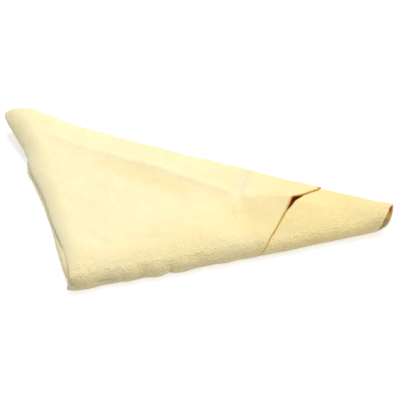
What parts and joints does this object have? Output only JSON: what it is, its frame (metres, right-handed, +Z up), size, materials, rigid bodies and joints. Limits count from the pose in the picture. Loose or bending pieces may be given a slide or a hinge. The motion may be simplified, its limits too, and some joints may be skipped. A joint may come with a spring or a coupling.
{
  "type": "chamois leather",
  "caption": "Chamois leather skin rolled dry into a flattened cone, with an outer flap that opens about its near fold and an inner cone with an open mouth.",
  "frame": {"origin": "on the table, under the middle of the bounding box", "axes": "+X along the roll from the wide end to the mouth, +Y from the near fold to the far fold, +Z up off the table"},
  "size_m": [0.3634, 0.2358, 0.0263],
  "materials": {
    "chamois": "napped on both sides, matt"
  },
  "bodies": {
    "roll": {"hinge_fold": "chamois", "under_panel": "chamois", "far_fold": "chamois", "cone_front": "chamois", "cone_near_fold": "chamois", "cone_under": "chamois"},
    "flap": {"flap_panel": "chamois", "flap_lip": "chamois"}
  },
  "joints": [
    {"name": "flap_open", "type": "hinge", "parent": "roll", "child": "flap", "pos_m": [-0.00206, -0.07637, 0.01], "axis": [0.9452, 0.3264, 0], "range_deg": [0, 168], "deforming": ["hinge_fold"]}
  ]
}
